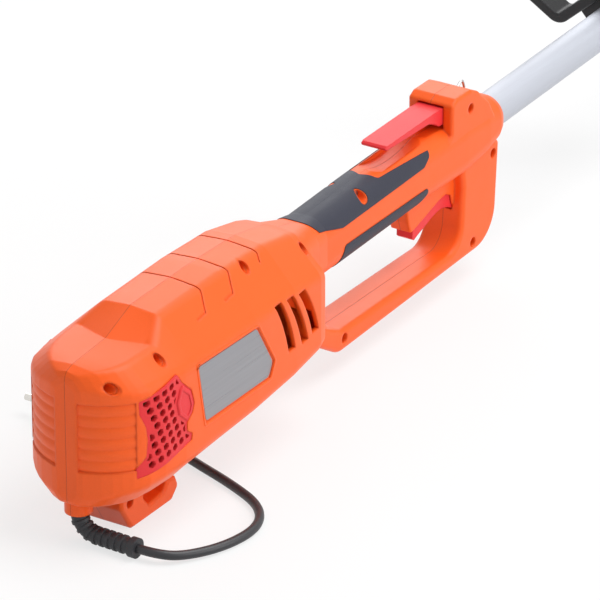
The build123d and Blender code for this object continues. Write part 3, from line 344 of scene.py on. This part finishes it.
def rounded_face(corners, y, corner_radius):
    """A flat face on the right side, from its corners along X and Z, with the corners rounded."""
    bm = bmesh.new()
    ring = [bm.verts.new((x, y, z)) for x, z in corners]
    bmesh.ops.contextual_create(bm, geom=ring)
    bmesh.ops.bevel(
        bm, geom=bm.verts[:], offset=corner_radius, offset_type="OFFSET", segments=5, profile=0.5,
        affect="VERTICES", material=-1,
    )
    return bm


def raise_faces(bm, height):
    """Pulls all faces of a flat piece out to the right and gives back what was raised."""
    grown = bmesh.ops.extrude_face_region(bm, geom=bm.faces[:])["geom"]
    bmesh.ops.translate(bm, vec=(0.0, -height, 0.0), verts=only(bmesh.types.BMVert, grown))
    return grown


# Operators

FRAME_PX = 600.0


class TRIMMER_OT_camera(bpy.types.Operator):
    """Sets the camera behind and to the right of the trimmer, looking down the tube"""

    bl_idname = "trimmer.camera"
    bl_label = "Camera"

    def execute(self, context):
        heading, dip = radians(31.5), radians(27.0)
        # The point where the tube leaves the handle is at this pixel, this many millimetres away.
        anchor_x, anchor_y, distance = 490.0, 110.0, 3600.0
        focal_px = 5371.0
        middle = FRAME_PX / 2.0
        ahead = Vector((cos(heading) * cos(dip), sin(heading) * cos(dip), -sin(dip)))
        right = Vector((sin(heading), -cos(heading), 0.0))
        up = right.cross(ahead)
        aside, above = (anchor_x - middle) / focal_px, (middle - anchor_y) / focal_px
        stand = REST @ ((ahead + right * aside + up * above) * -distance)
        turned = Matrix((right, up, -ahead)).transposed()
        data = bpy.data.cameras.new("camera")
        data.sensor_width = 36.0
        data.lens = focal_px / FRAME_PX * data.sensor_width
        data.clip_end = 60.0
        camera = bpy.data.objects.new("camera", data)
        camera.matrix_world = Matrix.Translation(stand) @ (LIE.to_3x3() @ turned).to_4x4()
        context.scene.collection.objects.link(camera)
        context.scene.camera = camera
        return {"FINISHED"}


# Route of the lead in metres, from the boot's end along the floor and behind the housing to the plug
CORD_ROUTE = [
    (-0.05625, -0.043, 0.00676),
    (-0.05652, -0.0545, 0.00676),
    (-0.04666, -0.068, 0.0043),
    (-0.01911, -0.082, 0.0031),
    (0.01291, -0.086, 0.0031),
    (0.03692, -0.072, 0.0031),
    (0.05193, -0.042, 0.0031),
    (0.06493, -0.006, 0.0031),
    (0.07384, 0.024, 0.0061),
    (0.07712, 0.046, 0.01289),
    (0.07712, 0.066, 0.01289),
]


class TRIMMER_OT_lead(bpy.types.Operator):
    """Lays the mains lead from the boot to the plug and finishes both"""

    bl_idname = "trimmer.lead"
    bl_label = "Lead"

    def execute(self, context):
        rubber = colours().lead
        sheath = moulded("lead rubber", rubber, 0.42, 0.25, 0.16, 0.0016, 0.00002).material
        boot = moulded("boot rubber", rubber, 0.55, 0.25, 0.12, 0.0010, 0.00008).material
        data = bpy.data.curves.new("lead", "CURVE")
        data.dimensions = "3D"
        data.bevel_depth = sizes().cord_radius
        data.bevel_resolution = 6
        data.resolution_u = 14
        data.use_fill_caps = True
        spline = data.splines.new("NURBS")
        spline.points.add(len(CORD_ROUTE) - 1)
        for point, place in zip(spline.points, CORD_ROUTE):
            point.co = (*place, 1.0)
        spline.order_u = 3
        spline.use_endpoint_u = True
        lead = bpy.data.objects.new("lead", data)
        context.scene.collection.objects.link(lead)
        data.materials.append(sheath)
        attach(lead, "body")
        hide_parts("power_cord")
        finish_nodes(boot, "cord_boot", "plug_body")
        finish_nodes(drawn("nickel pins", colours().pins, 0.25, (900, 900, 900)), "plug_pins")
        return {"FINISHED"}


class TRIMMER_OT_shell(bpy.types.Operator):
    """Finishes the orange housing, with painted shade on the sunken line where its halves meet"""

    bl_idname = "trimmer.shell"
    bl_label = "Housing shell"

    # Painted shade: the seam's colour is the shell's colour scaled down by this, for the shade in the
    # gap between the halves
    SEAM_PAINTED_SHADE = 0.68
    SEAM_INNER, SEAM_OUTER = 0.4, 1.6
    GRAIN_HEIGHT = 0.25
    # The rounding grows from flush to full between these distances from the seam, in metres.
    FLUSH_AT, ROUND_AT = 0.001, 0.006
    FLUSH_RADIUS = 0.0001

    def execute(self, context):
        shell = moulded(
            "orange shell", colours().shell, SHELL_ROUGHNESS, 0.10, 0.10, depth=0.00012,
            specular=SHELL_SPECULAR,
        )
        tree = shell.tree
        apart = tree.nodes.new("ShaderNodeSeparateXYZ")
        tree.links.new(object_vector(tree), apart.inputs[0])
        off_seam = math_node(tree, "ABSOLUTE", apart.outputs["Y"])
        self.paint_seam_shade(shell, off_seam)
        self.keep_seam_flush(shell, off_seam)
        finish_nodes(shell.material, "housing_right", "housing_left")
        return {"FINISHED"}

    def paint_seam_shade(self, shell, off_seam):
        """Paints shade on a thin line where the halves meet, standing in for shade in the gap between
        them, and sinks the line with a bump.
        """
        tree = shell.tree
        ramp = tree.nodes.new("ShaderNodeMapRange")
        ramp.interpolation_type = "SMOOTHSTEP"
        ramp.inputs["From Min"].default_value = sizes().seam * self.SEAM_INNER
        ramp.inputs["From Max"].default_value = sizes().seam * self.SEAM_OUTER
        tree.links.new(off_seam, ramp.inputs["Value"])
        # Painted shade along the seam, darkest at the middle of the line
        seam_painted_shade = tree.nodes.new("ShaderNodeMix")
        seam_painted_shade.data_type = "RGBA"
        seam_painted_shade.inputs["A"].default_value = rgba([c * self.SEAM_PAINTED_SHADE for c in colours().shell])
        tree.links.new(ramp.outputs["Result"], seam_painted_shade.inputs["Factor"])
        tree.links.new(shell.surface.outputs["Colour"], seam_painted_shade.inputs["B"])
        tree.links.new(seam_painted_shade.outputs["Result"], shell.shader.inputs["Base Color"])
        grain = math_node(tree, "MULTIPLY", shell.surface.outputs["Height"], self.GRAIN_HEIGHT)
        height = math_node(tree, "ADD", grain, ramp.outputs["Result"])
        tree.links.new(height, shell.bump.inputs["Height"])

    def keep_seam_flush(self, shell, off_seam):
        """Softens the moulded edges everywhere but at the seam, where the halves meet flush."""
        tree = shell.tree
        near = tree.nodes.new("ShaderNodeMapRange")
        near.inputs["From Min"].default_value = self.FLUSH_AT
        near.inputs["From Max"].default_value = self.ROUND_AT
        near.inputs["To Min"].default_value = self.FLUSH_RADIUS
        near.inputs["To Max"].default_value = sizes().soft_edge
        tree.links.new(off_seam, near.inputs["Value"])
        tree.links.new(near.outputs["Result"], shell.soften.inputs["Radius"])


class TRIMMER_OT_controls(bpy.types.Operator):
    """Finishes the red lever, trigger, grilles and bump knob"""

    bl_idname = "trimmer.controls"
    bl_label = "Red controls"

    def execute(self, context):
        red = moulded(
            "red controls", colours().control, 0.36, 0.10, 0.08, edge=0.0009, specular=0.16
        )
        finish_nodes(
            red.material, "lock_lever", "trigger", "vent_grille_right", "vent_grille_left",
            "bump_knob",
        )
        return {"FINISHED"}


class TRIMMER_OT_grips(bpy.types.Operator):
    """Finishes the soft grip pads"""

    bl_idname = "trimmer.grips"
    bl_label = "Soft grips"

    def execute(self, context):
        soft = moulded(
            "soft grip", colours().grip, 0.52, 0.20, 0.10, 0.0007, 0.00012, specular=0.28
        )
        finish_nodes(
            soft.material, "grip_pad_upper_right", "grip_pad_lower_right", "grip_pad_upper_left",
            "grip_pad_lower_left",
        )
        return {"FINISHED"}


class TRIMMER_OT_plastics(bpy.types.Operator):
    """Finishes the black handle, guard and line head, and the insulating pieces inside"""

    bl_idname = "trimmer.plastics"
    bl_label = "Black plastics"

    def execute(self, context):
        black = moulded("black plastic", colours().black, 0.42, 0.25, 0.14, specular=0.36)
        finish_nodes(
            black.material, "loop_handle", "handle_cap", "handle_sleeve", "wing_knob",
            "debris_guard", "spool_housing", "spool_cover", "line_spool", "power_switch",
            "cooling_fan", "brush_holder_right", "brush_holder_left", "shaft_coupling",
            "shaft_bushes",
        )
        line = moulded("nylon line", colours().line, 0.25, 0.15, 0.10, 0.002, 0.00003)
        finish_nodes(line.material, "line_winding", "cutting_line")
        return {"FINISHED"}


class TRIMMER_OT_metals(bpy.types.Operator):
    """Finishes the tube, the gear case, the steel pieces and the copper of the motor"""

    bl_idname = "trimmer.metals"
    bl_label = "Metals"

    def execute(self, context):
        tube = drawn(
            "satin tube", colours().tube, 0.50, (7, 900, 900), ALONG_TUBE, 0.14, metallic=0.5
        )
        finish_nodes(tube, "main_tube")
        cast = moulded("gear casting", colours().cast, 0.42, 0.15, 0.12, 0.0012, 0.00012)
        finish_nodes(cast.material, "gear_housing")
        steel = drawn(
            "bright steel", colours().steel, 0.34, (60, 60, 2200), spread=0.10, depth=0.000008
        )
        finish_nodes(
            steel, "housing_screws", "strap_eye", "lever_pin", "trigger_pin", "motor_shaft",
            "rear_bearing", "front_bearing", "drive_shaft", "clamp_bolts", "gear_clamp_bolt",
            "bevel_pinion", "bevel_gear", "output_spindle", "spindle_bearings", "line_cutter",
            "guard_screws", "line_eyelets",
        )
        sheets = drawn(
            "steel laminations", colours().steel, 0.45, (1600, 12, 12), ALONG_TUBE, 0.8
        )
        finish_nodes(sheets, "stator_core", "armature_core")
        copper = drawn("copper", colours().copper, 0.35, (1400, 30, 30), ALONG_TUBE, 0.6)
        finish_nodes(copper, "field_windings", "commutator")
        return {"FINISHED"}


class TRIMMER_OT_rating_plate(bpy.types.Operator):
    """Lays the bare foil plate in its recess on the right side, with the bead round it"""

    bl_idname = "trimmer.rating_plate"
    bl_label = "Rating plate"

    PLATE_CORNERS = [
        (-434.8, 12.4), (-368.6, 9.5), (-350.2, -21.2), (-354.6, -29.9), (-427.0, -27.9)
    ]
    PLATE_Y, PLATE_ROUND = -45.0, 2.2
    BEAD_CORNERS = [
        (-438.7, 15.8), (-366.7, 12.6), (-346.5, -20.9), (-352.7, -33.2), (-429.8, -31.2)
    ]
    BEAD_Y, BEAD_ROUND = -45.3, 2.4
    BEAD_WIDE, BEAD_HIGH, BEAD_CROWN = 1.8, 1.15, 0.6

    def execute(self, context):
        foil = drawn("plate foil", colours().plate, 0.33, (7, 420, 420), ALONG_TUBE, 0.42)
        plate = rounded_face(self.PLATE_CORNERS, self.PLATE_Y, self.PLATE_ROUND)
        raise_faces(plate, sizes().plate_thick / MM)
        new_piece("rating_plate", plate, foil, "body")
        trim = moulded(
            "shell bead", colours().shell, SHELL_ROUGHNESS, 0.10, 0.10, edge=0.0003,
            specular=SHELL_SPECULAR,
        )
        new_piece("plate_bead", self.make_bead(), trim.material, "body")
        return {"FINISHED"}

    def make_bead(self):
        bead = rounded_face(self.BEAD_CORNERS, self.BEAD_Y, self.BEAD_ROUND)
        bmesh.ops.inset_region(
            bead, faces=bead.faces[:], thickness=self.BEAD_WIDE, use_boundary=True,
            use_even_offset=True,
        )
        inside = max(bead.faces, key=lambda face: face.calc_area())
        bmesh.ops.delete(bead, geom=[inside], context="FACES")
        crown = set(only(bmesh.types.BMFace, raise_faces(bead, self.BEAD_HIGH)))
        brim = [edge for edge in bead.edges if sum(face in crown for face in edge.link_faces) == 1]
        bmesh.ops.bevel(
            bead, geom=brim, offset=self.BEAD_CROWN, offset_type="OFFSET", segments=3, profile=0.5,
            affect="EDGES", material=-1,
        )
        return bead


# Screw wells of the motor housing: place along X and Z, height of the screw post behind, and the
# shell's slope there, as its change of Y along X and Z and its Y on the well's axis
SCREW_WELLS = [
    (-462.0, 26.5, 26.0, -0.077, 1.161, -35.3),
    (-349.0, 37.5, 16.5, 0.065, 1.198, -24.1),
    (-285.0, 24.0, 22.0, 0.479, 1.020, -28.1),
    (-501.0, 22.0, 17.0, -1.028, 0.812, -26.5),
]


class TRIMMER_OT_screw_wells(bpy.types.Operator):
    """Lines the screw wells from the wall of the motor housing down to the screw posts"""

    bl_idname = "trimmer.screw_wells"
    bl_label = "Screw wells"

    RADIUS, WALL = 3.4, 0.35
    BELOW_SKIN, IN_POST = 2.2, 2.0
    LONGER_THAN_ANY = 40.0

    def execute(self, context):
        upright = Matrix.Rotation(radians(90.0), 4, "X")
        bm = bmesh.new()
        for x, z, post, along_x, along_z, skin in SCREW_WELLS:
            foot = Matrix.Translation((x, self.IN_POST - post, z)) @ upright
            ring = bmesh.ops.create_circle(bm, segments=32, radius=self.RADIUS, matrix=foot)["verts"]
            rim = list({edge for vert in ring for edge in vert.link_edges})
            grown = bmesh.ops.extrude_edge_only(bm, edges=rim)["geom"]
            top = only(bmesh.types.BMVert, grown)
            bmesh.ops.translate(bm, vec=(0.0, -self.LONGER_THAN_ANY, 0.0), verts=top)
            sides = list({face for vert in ring for face in vert.link_faces})
            edges = list({edge for face in sides for edge in face.edges})
            bmesh.ops.bisect_plane(
                bm, geom=[*ring, *top, *edges, *sides], plane_co=(x, skin + self.BELOW_SKIN, z),
                plane_no=(along_x, -1.0, along_z), clear_outer=True,
            )
        bmesh.ops.recalc_face_normals(bm, faces=bm.faces)
        bmesh.ops.solidify(bm, geom=bm.faces[:], thickness=self.WALL)
        new_piece("screw_wells", bm, bpy.data.materials["orange shell"], "body")
        return {"FINISHED"}


# Soft lights: name, place and width in metres, power in watts
LIGHTS = (
    ("key", (0.9, -0.9, 2.9), 2.2, 62.0),
    ("fill", (0.6, -3.0, 1.3), 2.4, 40.0),
    ("rim", (2.3, 1.45, 1.45), 2.0, 22.0),
)
LIGHT_AIM = Vector((0.05, 0.0, 0.1))


def seen_directly(tree):
    """One for rays from the camera, from a reflection and through glass, and none for the rest."""
    path = tree.nodes.new("ShaderNodeLightPath")
    seen = math_node(
        tree, "MAXIMUM", path.outputs["Is Camera Ray"], path.outputs["Is Glossy Ray"]
    )
    return math_node(tree, "MAXIMUM", seen, path.outputs["Is Transmission Ray"])


class TRIMMER_OT_stage(bpy.types.Operator):
    """Makes the pale floor, the soft lights and the white surroundings"""

    bl_idname = "trimmer.stage"
    bl_label = "Stage"

    FLOOR_REACH = 40.0
    FLOOR_WHITE = 0.72
    WORLD_LEVEL, WORLD_MORE_WHERE_SEEN = 0.45, 0.55

    def execute(self, context):
        self.make_floor(context)
        self.make_world(context)
        for light in LIGHTS:
            self.make_light(context, *light)
        context.scene.view_settings.view_transform = "Standard"
        return {"FINISHED"}

    def make_floor(self, context):
        bm = bmesh.new()
        bmesh.ops.create_grid(bm, x_segments=2, y_segments=2, size=self.FLOOR_REACH)
        mesh = bpy.data.meshes.new("floor")
        bm.to_mesh(mesh)
        bm.free()
        floor = bpy.data.objects.new("floor", mesh)
        context.scene.collection.objects.link(floor)
        material, tree, shader = start_material("pale floor")
        shader.inputs["Base Color"].default_value = rgba(colours().floor)
        shader.inputs["Roughness"].default_value = 0.9
        shader.inputs["Specular IOR Level"].default_value = 0.1
        glow = tree.nodes.new("ShaderNodeEmission")
        mix = tree.nodes.new("ShaderNodeMixShader")
        white = math_node(tree, "MULTIPLY", seen_directly(tree), self.FLOOR_WHITE)
        tree.links.new(white, mix.inputs["Fac"])
        tree.links.new(shader.outputs["BSDF"], mix.inputs[1])
        tree.links.new(glow.outputs["Emission"], mix.inputs[2])
        tree.links.new(mix.outputs["Shader"], tree.nodes["Material Output"].inputs["Surface"])
        mesh.materials.append(material)

    def make_world(self, context):
        world = bpy.data.worlds.new("surroundings")
        context.scene.world = world
        world.use_nodes = True
        tree = world.node_tree
        back = tree.nodes["Background"]
        back.inputs["Color"].default_value = (1.0, 1.0, 1.0, 1.0)
        more = math_node(tree, "MULTIPLY", seen_directly(tree), self.WORLD_MORE_WHERE_SEEN)
        level = math_node(tree, "ADD", more, self.WORLD_LEVEL)
        tree.links.new(level, back.inputs["Strength"])

    def make_light(self, context, name, place, width, power):
        data = bpy.data.lights.new(name, "AREA")
        data.shape = "DISK"
        data.size = width
        data.energy = power
        light = bpy.data.objects.new(name, data)
        light.location = place
        light.visible_camera = False
        light.rotation_euler = (LIGHT_AIM - Vector(place)).to_track_quat("-Z", "Y").to_euler()
        context.scene.collection.objects.link(light)


STEPS = (
    TRIMMER_OT_camera,
    TRIMMER_OT_lead,
    TRIMMER_OT_shell,
    TRIMMER_OT_controls,
    TRIMMER_OT_grips,
    TRIMMER_OT_plastics,
    TRIMMER_OT_metals,
    TRIMMER_OT_rating_plate,
    TRIMMER_OT_screw_wells,
    TRIMMER_OT_stage,
)


class TRIMMER_PT_finisher(bpy.types.Panel):
    """Lists the trimmer's steps and the values they use"""

    bl_idname = "TRIMMER_PT_finisher"
    bl_label = "String trimmer"
    bl_space_type = "VIEW_3D"
    bl_region_type = "UI"
    bl_category = "Trimmer"

    def draw(self, context):
        for group in (context.scene.trimmer_colours, context.scene.trimmer_sizes):
            box = self.layout.box()
            for name in group.__annotations__:
                box.prop(group, name)
        for step in STEPS:
            self.layout.operator(step.bl_idname)


CLASSES = (TrimmerColours, TrimmerSizes, *STEPS, TRIMMER_PT_finisher)


def register():
    for item in CLASSES:
        bpy.utils.register_class(item)
    bpy.types.Scene.trimmer_colours = PointerProperty(type=TrimmerColours)
    bpy.types.Scene.trimmer_sizes = PointerProperty(type=TrimmerSizes)


def unregister():
    del bpy.types.Scene.trimmer_sizes
    del bpy.types.Scene.trimmer_colours
    for item in reversed(CLASSES):
        bpy.utils.unregister_class(item)


def main():
    register()
    for step in STEPS:
        group, name = step.bl_idname.split(".")
        getattr(getattr(bpy.ops, group), name)()


if __name__ == "__main__":
    main()
